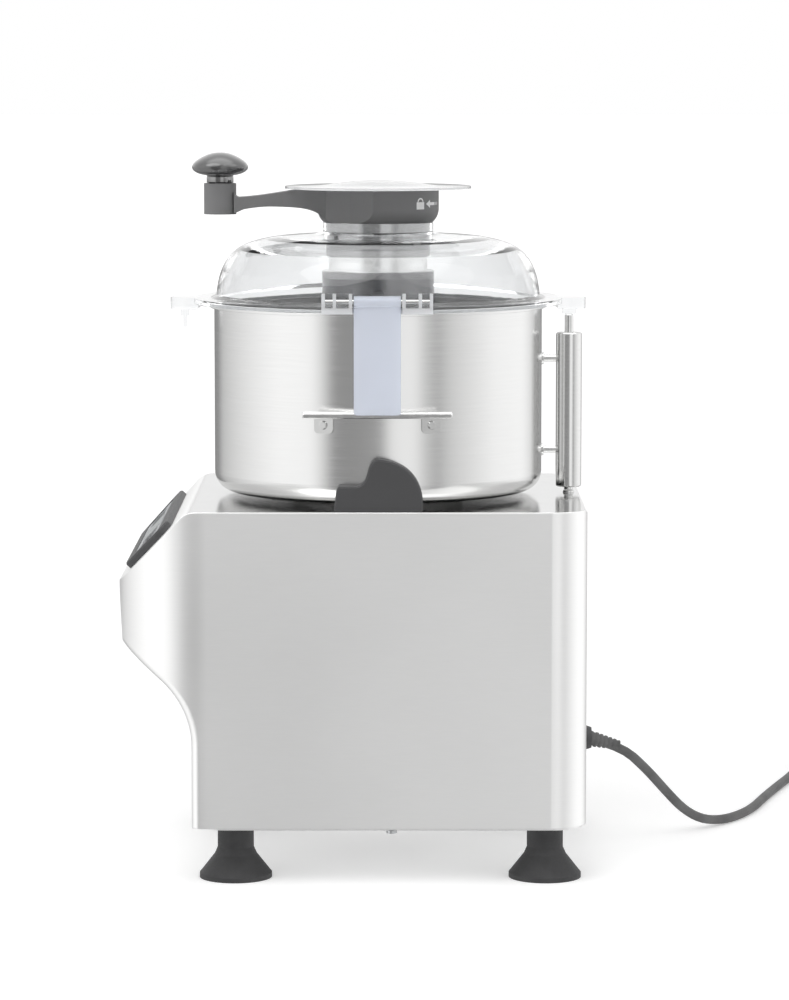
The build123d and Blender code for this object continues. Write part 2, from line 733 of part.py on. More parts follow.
# Lid: a moulded clear dome with a locating skirt, a flange, a neck, two ears and two hinge brackets
dome = [(spigot_radius + 0.9, 413), (spigot_radius - 3, 431), (spigot_radius - 15.5, 447),
        (spigot_radius - 35.5, 454), (neck_radius + 5.7, 457.4)]
latch_front = lever_y + barrel_radius + 1
with BuildPart() as lid:
    with BuildSketch(upright()) as dome_outline:
        with BuildLine():
            Polyline((flange_radius, flange_low), (flange_radius, flange_high), (dome[0][0] + 4, flange_high),
                     dome[0])
            Spline(*dome, tangents=((-0.1, 1), (-1, 0.08)))
            Polyline(dome[-1], (neck_radius, 459), (neck_radius, neck_top),
                     (neck_radius - neck_wall, neck_top), (neck_radius - neck_wall, 452),
                     (dome[-1][0], dome[-1][1] - lid_thick), (dome[3][0], dome[3][1] - lid_thick),
                     (dome[2][0] - 1.5, dome[2][1] - lid_thick), (dome[1][0] - lid_thick, dome[1][1] - 1.5),
                     (spigot_radius - spigot_wall, dome[0][1]), (spigot_radius - spigot_wall, spigot_low),
                     (spigot_radius, spigot_low), (spigot_radius, flange_low + 1.2),
                     (bowl_radius + rim_roll + 0.5, flange_low + 1.2), (bowl_radius + rim_roll + 0.5, flange_low),
                     (flange_radius, flange_low))
        make_face()
    revolve(axis=bowl_axis)
    # Ears over the rod and over the pin on the far end
    with BuildSketch(level(ear_low)):
        SlotOverall(2 * ear_reach, ear_width)
        Circle(flange_radius - 3, mode=Mode.SUBTRACT)
    extrude(amount=flange_high - ear_low)
    disc(5, rod_top + slip_gap, ear_low, x=handle_x)
    disc(3, 397, ear_low, x=-handle_x - 1.5)
    disc(1.3, 389, 397, x=-handle_x - 1.5)
    # Hinge brackets: a ribbed lug at each side of each lever
    for side in (-1, 1):
        with BuildSketch(level(flange_low)):
            with Locations((0, side * (latch_front + flange_radius - 6) / 2)):
                Rectangle(2 * latch_half, latch_front - flange_radius + 6)
            with Locations((0, side * (latch_front + 1))):
                Rectangle(2 * lever_half + 2, 2 * (latch_front + 1 - flange_radius), mode=Mode.SUBTRACT)
        extrude(amount=flange_high - flange_low)
        for x in (-1, 1):
            with BuildSketch(level(flange_high)):
                with Locations((x * (lever_half + 2.2), side * lever_y), (x * (latch_half - 9), side * lever_y),
                               (x * (latch_half - 1.2), side * lever_y)):
                    Rectangle(2.4, 2 * (barrel_radius + 1))
                with Locations((x * (lever_half + latch_half + 1) / 2, side * (lever_y - barrel_radius - 2))):
                    Rectangle(latch_half - lever_half - 1, 2.4)
            extrude(amount=lug_top - flange_high)
        with BuildSketch(Plane((bowl_x - latch_half - 1, side * lever_y, pin_z), x_dir=(0, 1, 0),
                               z_dir=(1, 0, 0))):
            Circle(pin_radius + weld_gap)
        extrude(amount=2 * latch_half + 2, mode=Mode.SUBTRACT)
save(lid, "lid")

with BuildPart() as lid_seal:
    disc(bowl_radius + rim_roll, bowl_rim + lift_gap, flange_low + 1.1, bore=spigot_radius + 0.6)
save(lid_seal, "lid_seal")

with BuildPart() as latch_pins:
    for side in (-1, 1):
        with BuildSketch(Plane((bowl_x - latch_half, side * lever_y, pin_z), x_dir=(0, 1, 0),
                               z_dir=(1, 0, 0))):
            Circle(pin_radius)
        extrude(amount=2 * latch_half)
save(latch_pins, "latch_pins")

lip_reach = lever_y - lever_thick / 2 - bar_y - bar_radius - 0.4


def latch_lever(side):
    """One lid lever: a plate from its hinge barrel down to a lip that bears on the catch bar."""
    with BuildPart() as lever:
        with BuildSketch(Plane((bowl_x - lever_half, side * lever_y, 0), x_dir=(0, 1, 0), z_dir=(1, 0, 0))):
            with Locations((0, pin_z)):
                Circle(barrel_radius)
            with Locations((0, (lever_low + pin_z) / 2)):
                Rectangle(lever_thick, pin_z - lever_low)
            with Locations((-side * (lever_thick / 2 + lip_reach / 2), lever_low + 2)):
                Rectangle(lip_reach, 4)
            with Locations((0, pin_z)):
                Circle(pin_radius + running_gap, mode=Mode.SUBTRACT)
        extrude(amount=2 * lever_half)
        corners = lever.edges().filter_by(Axis.Y).group_by(Axis.Z)[0]
        fillet(corners, 3)
    return lever


near_lever = latch_lever(-1)
save(near_lever, "near_lever")
far_lever = latch_lever(1)
save(far_lever, "far_lever")

# Neck bush: the steel sleeve that the crank turns in
with BuildPart() as neck_bush:
    disc(neck_radius - neck_wall - weld_gap, 440, neck_top, bore=sleeve_radius + running_gap)
save(neck_bush, "neck_bush")

# Crank: hub, arm with a hollowed underside and the knob's boss
arm_width_root = 34.0
web_x = boss_x + boss_radius - 1.5
with BuildPart() as crank:
    with BuildSketch(upright()) as hub_outline:
        with BuildLine():
            Line((sleeve_radius + weld_gap, hub_low), (hub_foot, hub_low))
            ThreePointArc((hub_foot, hub_low), (hub_radius - 1.3, hub_low + 4.2),
                          (hub_radius, hub_low + hub_round))
            Polyline((hub_radius, hub_low + hub_round), (hub_radius, hub_top),
                     (sleeve_radius - sleeve_wall, hub_top), (sleeve_radius - sleeve_wall, hub_top - 3),
                     (sleeve_radius + weld_gap, hub_top - 3), (sleeve_radius + weld_gap, hub_low))
        make_face()
    revolve(axis=bowl_axis)
    with BuildSketch(upright(arm_width_root / 2)):
        with BuildLine():
            Spline((-38, 490), (-58, 489.4), (-88, 485.2), (-102, 484))
            RadiusArc((-102, 484), (web_x, 488), 4.6)
            Polyline((web_x, 488), (web_x, boss_low + 0.5), (-98, 475.2))
            Spline((-98, 475.2), (-81.6, 477.2), (-66.8, 477), (-46, 473.6), (-38, 468))
            Line((-38, 468), (-38, 490))
        make_face()
    extrude(amount=arm_width_root)
    with BuildSketch(level(boss_low - 10)):
        with BuildLine():
            Polyline((-38, arm_width_root / 2), (-70, 11), (boss_x, 8), (boss_x, -8), (-70, -11),
                     (-38, -arm_width_root / 2), (-20, -arm_width_root), (hub_radius + 10, -80),
                     (hub_radius + 10, 80), (-20, arm_width_root), close=True)
        make_face()
    extrude(amount=60, mode=Mode.INTERSECT)
    disc(boss_radius, boss_low, boss_top, x=boss_x)
    disc(sleeve_radius + weld_gap, hub_low - 20, hub_top - 3, mode=Mode.SUBTRACT)
    disc(sleeve_radius - sleeve_wall, hub_low, hub_top + 5, mode=Mode.SUBTRACT)
    disc(knob_pin_radius + weld_gap, boss_low + 3, boss_top + 1, x=boss_x, mode=Mode.SUBTRACT)
save(crank, "crank")

# Scraper carrier: the tube through the neck with its ring under the dome
with BuildPart() as scraper_carrier:
    disc(sleeve_radius, carrier_low, hub_top - 3 - weld_gap, bore=sleeve_radius - sleeve_wall)
    disc(carrier_radius, carrier_low, carrier_high, bore=sleeve_radius - 1)
save(scraper_carrier, "scraper_carrier")

with BuildPart() as scraper_arms:
    for turn in (arm_angle, arm_angle + 180):
        out = (cos(radians(turn)), sin(radians(turn)), 0)
        with BuildSketch(Plane((bowl_x, 0, 0), x_dir=out, z_dir=(out[1], -out[0], 0))) as arm_outline:
            with BuildLine():
                Polyline((carrier_radius - 3, arm_low), (post_radius - post_depth, arm_low),
                         (post_radius - post_depth, post_low), (post_radius, post_low),
                         (post_radius, arm_high - 3), (post_radius - 3, arm_high),
                         (carrier_radius - 3, arm_high), close=True)
            make_face()
        extrude(amount=4, both=True)
    disc(carrier_radius + weld_gap, arm_low - 1, arm_high + 1, mode=Mode.SUBTRACT)
save(scraper_arms, "scraper_arms")

with BuildPart() as scraper_wipers:
    for turn in (arm_angle, arm_angle + 180):
        out = (cos(radians(turn)), sin(radians(turn)), 0)
        with BuildSketch(Plane((bowl_x, 0, 0), x_dir=out, z_dir=(out[1], -out[0], 0))) as wiper_outline:
            with BuildLine():
                Polyline((post_radius + weld_gap, post_low), (blade_reach - 4, post_low),
                         (blade_reach, post_low + 6), (blade_reach, 392), (blade_reach - 3, 396),
                         (post_radius + weld_gap, 396), close=True)
            make_face()
        extrude(amount=wiper_thick / 2, both=True)
save(scraper_wipers, "scraper_wipers")

# Knob: a mushroom turned on a shouldered pin
with BuildPart() as knob_pin:
    disc(knob_pin_radius, boss_low + 3.1, knob_low + 14, x=boss_x)
    disc(knob_pin_radius + 2, knob_low + 12, knob_low + 14, x=boss_x)
save(knob_pin, "knob_pin")

with BuildPart() as knob:
    with BuildSketch(upright()) as knob_outline:
        with BuildLine():
            head_start = (boss_x + knob_neck + 3.2, knob_low + 6.3)
            Polyline((boss_x, knob_low), (boss_x + knob_neck, knob_low), (boss_x + knob_neck, knob_low + 5.2),
                     head_start)
            Spline(head_start, (boss_x + knob_radius - 1.6, knob_low + 8.3),
                   (boss_x + knob_radius, knob_low + 11.7), (boss_x + knob_radius - 3.1, knob_top - 5.1),
                   (boss_x + knob_radius - 11.6, knob_top - 1.1), (boss_x, knob_top),
                   tangents=((1, 0.15), (-1, 0)))
            Line((boss_x, knob_top), (boss_x, knob_low))
        make_face()
    revolve(axis=Axis((bowl_x + boss_x, 0, 0), (0, 0, 1)))
    disc(knob_pin_radius + running_gap, knob_low - 1, knob_low + 12, x=boss_x, mode=Mode.SUBTRACT)
    disc(knob_pin_radius + 2 + slip_gap, knob_low + 12 - slip_gap, knob_low + 14 + slip_gap, x=boss_x,
         mode=Mode.SUBTRACT)
save(knob, "knob")

# Feed cover: a thin clear disc with a shallow dome, located in the crank's tube
with BuildPart() as feed_cover:
    with BuildSketch(upright()) as cover_outline:
        with BuildLine():
            Polyline((0, cover_low), (cover_radius, cover_low), (cover_radius, cover_low + cover_edge),
                     (hub_radius, cover_low + cover_edge + 0.6))
            Spline((hub_radius, cover_low + cover_edge + 0.6), (22, 495), (0, 496),
                   tangents=((-1, 0.05), (-1, 0)))
            Line((0, 496), (0, cover_low))
        make_face()
    revolve(axis=bowl_axis)
    disc(sleeve_radius - sleeve_wall - slip_gap, cover_low - 5, cover_low + 0.5,
         bore=sleeve_radius - sleeve_wall - 3)
save(feed_cover, "feed_cover")

# Knife hub: a tube over the bowl's column, driven by the shaft's flats at its top
with BuildPart() as knife_hub:
    disc(knife_hub_radius, knife_hub_low, knife_hub_top)
    disc(knife_hub_radius + 6, knife_hub_low, knife_low)
    disc(column_radius + 0.4, knife_hub_low - 1, column_top + 2, mode=Mode.SUBTRACT)
    with BuildSketch(level(column_top)) as socket:
        Circle(shaft_radius + slip_gap)
        Rectangle(40, 2 * (shaft_flat + slip_gap), mode=Mode.INTERSECT)
    extrude(amount=shaft_top - column_top + 1, mode=Mode.SUBTRACT)
save(knife_hub, "knife_hub")


def knife_pair(low, start):
    """Two sickle blades on one ring: a swept leading edge, a hollow back and a ground bevel."""
    with BuildPart() as knife:
        disc(knife_hub_radius + 9, low, low + knife_thick)
        for turn in (start, start + 180):
            with BuildSketch(level(low).rotated((0, 0, turn))) as sickle:
                with BuildLine():
                    edge = ThreePointArc((6, -26), (knife_radius - 27, -30), (knife_radius, 14))
                    tip = Line(edge @ 1, (knife_radius - 7, 20))
                    back = ThreePointArc(tip @ 1, (knife_radius - 37, -2), (6, 26))
                    Line(back @ 1, edge @ 0)
                make_face()
            extrude(amount=knife_thick)
        disc(knife_hub_radius + weld_gap, low - 1, low + knife_thick + 1, mode=Mode.SUBTRACT)
        top_edges = knife.faces().sort_by(Axis.Z)[-1].edges().filter_by(GeomType.CIRCLE)
        ground = [e for e in top_edges if abs(e.radius - edge.radius) < 0.1]
        chamfer(ground, knife_grind)
    return knife


lower_blades = knife_pair(knife_low, 25)
save(lower_blades, "lower_blades")
upper_blades = knife_pair(knife_low + knife_step, 115)
save(upper_blades, "upper_blades")

with BuildPart() as blade_spacer:
    disc(knife_hub_radius + 6, knife_low + knife_thick, knife_low + knife_step,
         bore=knife_hub_radius + weld_gap)
save(blade_spacer, "blade_spacer")

ring_low = knife_low + knife_step + knife_thick
with BuildPart() as clamp_ring:
    disc(knife_hub_radius + 7, ring_low, ring_low + 10, bore=knife_hub_radius + weld_gap)
    with BuildSketch(level(ring_low + 4)):
        with PolarLocations(knife_hub_radius + 7, 6):
            Rectangle(4, 5)
    extrude(amount=8, mode=Mode.SUBTRACT)
save(clamp_ring, "clamp_ring")

with BuildPart() as knife_grip:
    disc(knife_hub_radius - 1, knife_hub_top, knife_hub_top + 18)
    with BuildSketch(level(knife_hub_top + 4)):
        with PolarLocations(knife_hub_radius + 1, 8):
            Circle(4)
    extrude(amount=20, mode=Mode.SUBTRACT)
save(knife_grip, "knife_grip")

# Mains lead: a hand-laid route, a coil for the rest of its length and a plug
cord_points = [(gland_reach - 4, 0, gland_z), (180, 5, 77), (200, 20, 57), (216, 37, 37), (231, 56, 19),
               (247, 76, 7.5), (264, 95, cord_rest), (279, 116, cord_rest), (292, 146, cord_rest),
               (303, 185, cord_rest), (318, 233, cord_rest), (335, 284, cord_rest),
               (coil_centre[0] - coil_turn, 338, cord_rest)]
route = [Vector(bowl_x + x, y, z) for x, y, z in cord_points]
cord_radii = []
for before, here, after in zip(route, route[1:], route[2:]):
    turn = (here - before).get_angle(after - here)
    shorter = min((here - before).length, (after - here).length)
    cord_radii.append(0.45 * shorter / tan(radians(turn / 2)))
with BuildPart() as power_cord:
    with BuildLine() as cord_line:
        FilletPolyline(*route, radius=cord_radii)
    with BuildSketch(Plane(route[0], z_dir=route[1] - route[0])):
        Circle(cord_radius)
    sweep(path=cord_line.wires()[0])
save(power_cord, "power_cord")

with BuildPart() as cord_coil:
    disc(coil_wide, 0.2, coil_height, bore=coil_bore, x=coil_centre[0], y=coil_centre[1])
    fillet(cord_coil.edges().filter_by(GeomType.CIRCLE), 3)
save(cord_coil, "cord_coil")

plug_tilt = 8.5
plug_tail = (bowl_x + coil_centre[0] + coil_turn, coil_centre[1] - 18, 8.2)
plug_dir = (0, -cos(radians(plug_tilt)), sin(radians(plug_tilt)))
plug_plane = Plane(plug_tail, x_dir=(1, 0, 0), z_dir=Vector(1, 0, 0).cross(Vector(plug_dir)))
with BuildPart() as plug:
    with BuildSketch(plug_plane) as plug_outline:
        with BuildLine():
            Polyline((0, 0), (cord_radius + 0.5, 0), (7, 28), (11.5, 34), (14, 44), (15.2, 50), (17.9, 68),
                     (17, 70), (0, 70), close=True)
        make_face()
    revolve(axis=Axis(plug_tail, plug_dir))
save(plug, "plug")

pin_plane = Plane(Vector(plug_tail) + Vector(plug_dir) * 70, x_dir=(1, 0, 0), z_dir=plug_dir)
with BuildPart() as plug_pins:
    with BuildSketch(pin_plane):
        with GridLocations(19, 0, 2, 1):
            Circle(2.4)
    extrude(amount=19)
save(plug_pins, "plug_pins")
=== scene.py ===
"""A bench bowl cutter with a clear lid: its finishes, mains lead, printed marks and stage, as an add-on."""
from math import cos, pi, radians, sin

import bmesh
import bpy
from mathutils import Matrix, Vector


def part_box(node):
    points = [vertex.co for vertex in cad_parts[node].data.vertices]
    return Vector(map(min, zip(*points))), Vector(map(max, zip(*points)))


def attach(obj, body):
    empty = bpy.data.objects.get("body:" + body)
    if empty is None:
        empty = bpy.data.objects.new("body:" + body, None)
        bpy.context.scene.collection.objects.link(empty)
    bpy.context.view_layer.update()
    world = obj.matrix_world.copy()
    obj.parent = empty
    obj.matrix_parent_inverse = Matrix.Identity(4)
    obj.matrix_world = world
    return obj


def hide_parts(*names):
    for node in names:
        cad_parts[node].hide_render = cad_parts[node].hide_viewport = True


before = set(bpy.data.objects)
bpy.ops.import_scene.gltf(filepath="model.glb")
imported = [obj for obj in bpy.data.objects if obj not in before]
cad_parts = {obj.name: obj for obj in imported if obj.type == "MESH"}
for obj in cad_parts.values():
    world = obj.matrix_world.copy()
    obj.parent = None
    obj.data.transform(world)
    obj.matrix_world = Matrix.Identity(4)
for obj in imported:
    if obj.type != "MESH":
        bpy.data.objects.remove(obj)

bl_info = {
    "name": "Bowl Cutter",
    "version": (1, 0, 0),
    "blender": (4, 5, 0),
    "location": "View3D > Sidebar > Bowl Cutter",
    "description": "Finishes a bench bowl cutter and sets it on a pale stage",
    "category": "Object",
}

BOWL_X = 0.014  # the bowl's axis in the row frame, metres
# The lid's hinge lugs: how far out they start, and half their spread along the lid
LUG_START, LUG_HALF = 0.1335, 0.0405
# Where the scraper's carrier turns from a dark ring into a bright tube
RING_TOP = 0.4318
# How far a print lies above its surface
PRINT_LIFT = 0.0001
# The Mix node's two colours and its colour result
FIRST_COLOUR, SECOND_COLOUR, MIXED_COLOUR = 6, 7, 2


# ---- Shader building ----

class Value:
    """A node's output that Python's operators work on. Each expression adds its Math node."""

    def __init__(self, shading, socket):
        self.shading = shading
        self.socket = socket

    def math(self, operation, *terms):
        return self.shading.add("ShaderNodeMath", {"operation": operation}, dict(enumerate(terms)))

    def __add__(self, other):
        return self.math("ADD", self, other)

    def __sub__(self, other):
        return self.math("SUBTRACT", self, other)

    def __rsub__(self, other):
        return self.math("SUBTRACT", other, self)

    def __mul__(self, other):
        return self.math("MULTIPLY", self, other)


class Shading:
    """A node tree that grows one node at a time."""

    def __init__(self, tree):
        self.tree = tree

    def add(self, kind, settings=None, inputs=None, output=0):
        """Adds a node: its settings first, then its sockets' values or links. Gives one output."""
        node = self.tree.nodes.new(kind)
        for name, value in (settings or {}).items():
            if name == "stops":
                ramp = node.color_ramp.elements
                while len(ramp) < len(value):
                    ramp.new(0.5)
                for element, (position, colour) in zip(ramp, value):
                    element.position = position
                    element.color = colour
            else:
                setattr(node, name, value)
        for name, value in (inputs or {}).items():
            if isinstance(value, Value):
                self.tree.links.new(value.socket, node.inputs[name])
            else:
                node.inputs[name].default_value = value
        return Value(self, node.outputs[output])

    def axis(self, vector, index):
        """One coordinate of a vector: 0, 1 or 2 for x, y or z."""
        return self.add("ShaderNodeSeparateXYZ", inputs={"Vector": vector}, output=index)


class Finish(Shading):
    """A procedural material built round one Principled shader."""

    def __init__(self, name, **constants):
        self.material = bpy.data.materials.new(name)
        self.material.use_nodes = True
        super().__init__(self.material.node_tree)
        self.shader = self.tree.nodes["Principled BSDF"]
        for socket, value in constants.items():
            self.shader.inputs[socket.replace("_", " ")].default_value = value

    def feed(self, socket, value):
        """Links an expression to one of the Principled shader's sockets."""
        self.tree.links.new(value.socket, self.shader.inputs[socket])

    def place(self, stretch=(1, 1, 1)):
        """The point on the object in metres, stretched along each direction."""
        point = self.add("ShaderNodeTexCoord", output="Object")
        return self.add("ShaderNodeMapping", inputs={"Vector": point, "Scale": stretch})

    def noise(self, scale, stretch=(1, 1, 1), detail=2.0, roughness=0.5):
        """Cloudy noise from 0 to 1."""
        return self.add("ShaderNodeTexNoise", inputs={
            "Vector": self.place(stretch), "Scale": scale, "Detail": detail, "Roughness": roughness})

    def spread(self, value, low, high):
        """Maps the middle of a noise onto a range."""
        return self.add("ShaderNodeMapRange", inputs={
            "Value": value, "From Min": 0.3, "From Max": 0.7, "To Min": low, "To Max": high})

    def step(self, value, at):
        """0 below a value and 1 above it, over half a millimetre."""
        return self.add("ShaderNodeMapRange", inputs={
            "Value": value, "From Min": at, "From Max": at + 0.0005})

    def shade(self, factor, first, colour):
        """Mixes a plain colour into a colour that already varies."""
        return self.add("ShaderNodeMix", {"data_type": "RGBA"}, {
            "Factor": factor, FIRST_COLOUR: first, SECOND_COLOUR: (*colour, 1)}, output=MIXED_COLOUR)

    def tint(self, factor, dark, light):
        """Mixes two colours."""
        return self.add("ShaderNodeMix", {"data_type": "RGBA"}, {
            "Factor": factor, FIRST_COLOUR: (*dark, 1), SECOND_COLOUR: (*light, 1)}, output=MIXED_COLOUR)

    def relief(self, height, distance, strength=1.0, edge=0.0):
        """Raises the surface by a height, over edges that look rounded by a radius."""
        inputs = {"Height": height, "Distance": distance, "Strength": strength}
        if edge:
            inputs["Normal"] = self.add("ShaderNodeBevel", {"samples": 6}, {"Radius": edge})
        self.feed("Normal", self.add("ShaderNodeBump", inputs=inputs))

    def blend(self, factor, other):
        """Mixes another shader over the Principled one."""
        mixed = self.add("ShaderNodeMixShader", inputs={
            0: factor, 1: Value(self, self.shader.outputs[0]), 2: other})
        self.tree.links.new(mixed.socket, self.tree.nodes["Material Output"].inputs["Surface"])


def satin_sheet(settings):
    """Stainless sheet with short brush lines, smoother where it faces up, and darker there by painted shade.
    """
    finish = Finish("satin_sheet", Metallic=1.0)
    lines = finish.noise(60, (1.2, 1.2, 60), detail=3, roughness=0.7)
    cloud = finish.noise(7, detail=1)
    facing = finish.add("ShaderNodeNewGeometry", output="Normal")
    up = finish.axis(facing, 2)
    top = finish.add("ShaderNodeMapRange", inputs={"Value": up, "From Min": 0.9, "From Max": 0.99})
    brushed = finish.tint(finish.spread(lines, 0, 1), [c * 0.97 for c in settings.sheet], settings.sheet)
    # Painted shade: where the sheet faces up its colour is darkened, standing in for the darker reflection
    # on the top plate.
    finish.feed("Base Color", finish.shade(top, brushed, [c * 0.84 for c in settings.steel]))
    satin = finish.spread(lines, 0.37, 0.41) + finish.spread(cloud, -0.02, 0.02)
    finish.feed("Roughness", satin - top * 0.26)
    finish.relief(lines, 0.000004, 0.3, edge=0.0012)
    return finish.material


def turned_steel(settings):
    """Steel with fine turning lines, as on the bowl and the neck bush."""
    finish = Finish("turned_steel", Metallic=1.0)
    lines = finish.noise(40, (0.6, 0.6, 60), detail=3, roughness=0.75)
    finish.feed("Base Color", finish.tint(finish.spread(lines, 0, 1), [c * 0.95 for c in settings.steel],
                                          settings.steel))
    finish.feed("Roughness", finish.spread(lines, 0.16, 0.24))
    finish.relief(lines, 0.00003, 0.3, edge=0.0006)
    return finish.material


def bright_steel(settings):
    """Polished steel of bars, pins, the handle and the rod."""
    finish = Finish("bright_steel", Metallic=1.0)
    marks = finish.noise(220, (1, 1, 4), detail=2)
    finish.feed("Base Color", finish.tint(marks, [c * 0.9 for c in settings.steel], settings.steel))
    finish.feed("Roughness", finish.spread(marks, 0.1, 0.2))
    finish.relief(marks, 0.00002, 0.3, edge=0.0004)
    return finish.material


def painted_shade_steel(name, tone):
    """Polished steel with painted shade: its colour is darkened by a tone, standing in for the shade and
    dark reflections it gets between its neighbours.
    """
    finish = Finish(name, Metallic=1.0)
    marks = finish.noise(220, (1, 1, 4), detail=2)
    finish.feed("Base Color", finish.tint(marks, [tone * 0.92] * 3, [tone] * 3))
    finish.feed("Roughness", finish.spread(marks, 0.06, 0.12))
    finish.relief(marks, 0.00001, 0.3, edge=0.0004)
    return finish.material


def moulded_plastic(name, colour):
    """Dark grey moulded plastic with a fine spark grain."""
    finish = Finish(name, Specular_IOR_Level=0.45)
    grain = finish.noise(1900, detail=1)
    cloud = finish.noise(30, detail=2)
    finish.feed("Base Color", finish.tint(cloud, [c * 0.9 for c in colour], colour))
    finish.feed("Roughness", finish.spread(grain, 0.42, 0.55))
    finish.relief(grain, 0.00006, 0.35, edge=0.0006)
    return finish.material


def gloss_plastic():
    """Glossy black plastic of the knob."""
    finish = Finish("gloss_plastic", Specular_IOR_Level=0.9, Coat_Weight=1.0, Coat_Roughness=0.04)
    cloud = finish.noise(90, detail=2)
    finish.feed("Base Color", finish.tint(cloud, (0.03, 0.03, 0.031), (0.045, 0.045, 0.046)))
    finish.feed("Roughness", finish.spread(cloud, 0.12, 0.18))
    finish.relief(cloud, 0.00003, 0.2)
    return finish.material


def carrier_finish(settings):
    """The scraper's carrier: a dark ring in the dome and a bright tube above it."""
    finish = Finish("carrier_finish", Metallic=1.0)
    lines = finish.noise(40, (0.6, 0.6, 60), detail=3, roughness=0.75)
    height = finish.axis(finish.add("ShaderNodeTexCoord", output="Object"), 2)
    tube = finish.add("ShaderNodeMapRange", inputs={
        "Value": height, "From Min": RING_TOP, "From Max": 0.4322})
    finish.feed("Base Color", finish.tint(tube, (0.2, 0.2, 0.205), settings.steel))
    finish.feed("Roughness", finish.spread(lines, 0.14, 0.24))
    finish.relief(lines, 0.00001, 0.3, edge=0.0006)
    return finish.material


def rubber_finish(name, colour):
    """Matt black rubber with a little dust bloom."""
    finish = Finish(name, Specular_IOR_Level=0.35)
    grain = finish.noise(900, detail=2)
    bloom = finish.noise(45, detail=3)
    finish.feed("Base Color", finish.tint(finish.spread(bloom, 0, 1), colour, [c * 1.5 for c in colour]))
    finish.feed("Roughness", finish.spread(grain, 0.5, 0.66))
    finish.relief(grain, 0.00008, 0.3, edge=0.0005)
    return finish.material


def clear_plastic():
    """Clear polycarbonate with a moulding's faint waves, glossy on top and frosted at the hinge lugs."""
    finish = Finish("clear_plastic", Transmission_Weight=1.0, IOR=1.1, Coat_Weight=0.9, Coat_IOR=1.5,
                    Coat_Roughness=0.02)
    wave = finish.noise(14, detail=1)
    point = finish.add("ShaderNodeTexCoord", output="Object")
    along, across = (finish.axis(point, index) for index in range(2))
    lugs = (finish.step(across.math("ABSOLUTE", across), LUG_START)
            * (1 - finish.step(along.math("ABSOLUTE", along - BOWL_X), LUG_HALF)))
    finish.feed("Base Color", finish.tint(wave, (0.93, 0.94, 0.945), (0.96, 0.965, 0.97)))
    finish.feed("Roughness", finish.spread(wave, 0.0, 0.02))
    finish.relief(wave, 0.0003, 0.2)
    frosted = finish.add("ShaderNodeBsdfPrincipled", inputs={
        "Base Color": (0.86, 0.87, 0.89, 1), "Roughness": 0.3, "Transmission Weight": 0.45, "IOR": 1.45})
    finish.blend(lugs, frosted)
    return finish.material


def cover_plastic():
    """Pale clear plastic of the feed cover, a little milky."""
    finish = Finish("cover_plastic", Transmission_Weight=0.62, IOR=1.2, Coat_Weight=0.9, Coat_IOR=1.5,
                    Coat_Roughness=0.02)
    wave = finish.noise(20, detail=1)
    finish.feed("Base Color", finish.tint(wave, (0.9, 0.91, 0.92), (0.95, 0.955, 0.96)))
    finish.feed("Roughness", finish.spread(wave, 0.03, 0.07))
    finish.relief(wave, 0.0002, 0.2)
    return finish.material


def frosted_plastic(settings):
    """Translucent bluish plastic of the lid levers."""
    finish = Finish("frosted_plastic", Transmission_Weight=0.4, IOR=1.45, Specular_IOR_Level=0.5)
    cloud = finish.noise(40, detail=1)
    finish.feed("Base Color", finish.tint(cloud, [c * 0.97 for c in settings.lever], settings.lever))
    finish.feed("Roughness", finish.spread(cloud, 0.3, 0.4))
    finish.relief(cloud, 0.0001, 0.2, edge=0.0004)
    return finish.material


def plain_finish(name, dark, light, rough, scale=300, metallic=0.0, depth=0.00005):
    """A two-tone finish of a small or inner part, with grain in its gloss and surface."""
    finish = Finish(name, Metallic=metallic)
    grain = finish.noise(scale, detail=3)
    finish.feed("Base Color", finish.tint(finish.spread(grain, 0, 1), dark, light))
    finish.feed("Roughness", finish.spread(grain, rough[0], rough[1]))
    finish.relief(grain, depth, 0.4, edge=0.0004)
    return finish.material


def print_finish(name, colour):
    """Printing ink: a flat colour with the slightest mottle."""
    finish = Finish(name, Specular_IOR_Level=0.4)
    mottle = finish.noise(600, detail=1)
    finish.feed("Base Color", finish.tint(mottle, [c * 0.95 for c in colour], colour))
    finish.feed("Roughness", finish.spread(mottle, 0.35, 0.45))
    return finish.material


def dress(finish, *nodes):
    """Gives CAD nodes a finish."""
    for node in nodes:
        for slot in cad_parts[node].material_slots:
            slot.material = finish


# ---- Piece building ----

def solid(name, form, finish, body, smooth=True):
    """Makes a mesh object from a bmesh and lets it ride on a body."""
    bmesh.ops.recalc_face_normals(form, faces=form.faces)
    mesh = bpy.data.meshes.new(name)
    form.to_mesh(mesh)
    form.free()
    for face in mesh.polygons:
        face.use_smooth = smooth
    mesh.materials.append(finish)
    piece = bpy.data.objects.new(name, mesh)
    bpy.context.collection.objects.link(piece)
    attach(piece, body)
    return piece


def lathe(form, outline, start, along, steps=40):
    """Turns an outline of (distance along, radius) round a line, closed at both ends."""
    along = along.normalized()
    side = along.orthogonal().normalized()
    other = along.cross(side)
    rings = []
    for distance, radius in outline:
        centre = start + along * distance
        rings.append([form.verts.new(centre + (side * cos(a) + other * sin(a)) * radius)
                      for a in (2 * pi * i / steps for i in range(steps))])
    for low, high in zip(rings, rings[1:]):
        for i in range(steps):
            form.faces.new((low[i], low[i - 1], high[i - 1], high[i]))
    form.faces.new(rings[0])
    form.faces.new(rings[-1])


def printed(name, shapes, place, finish, body):
    """A print on a surface: flat outlines, each cut fine and set on the surface by a function."""
    form = bmesh.new()
    for outline in shapes:
        face = form.faces.new([form.verts.new((*point, 0)) for point in outline])
        bmesh.ops.triangulate(form, faces=[face])
    bmesh.ops.subdivide_edges(form, edges=form.edges, cuts=2, use_grid_fill=True)
    for vert in form.verts:
        vert.co = place(vert.co.x, vert.co.y)
    return solid(name, form, finish, body, smooth=False)


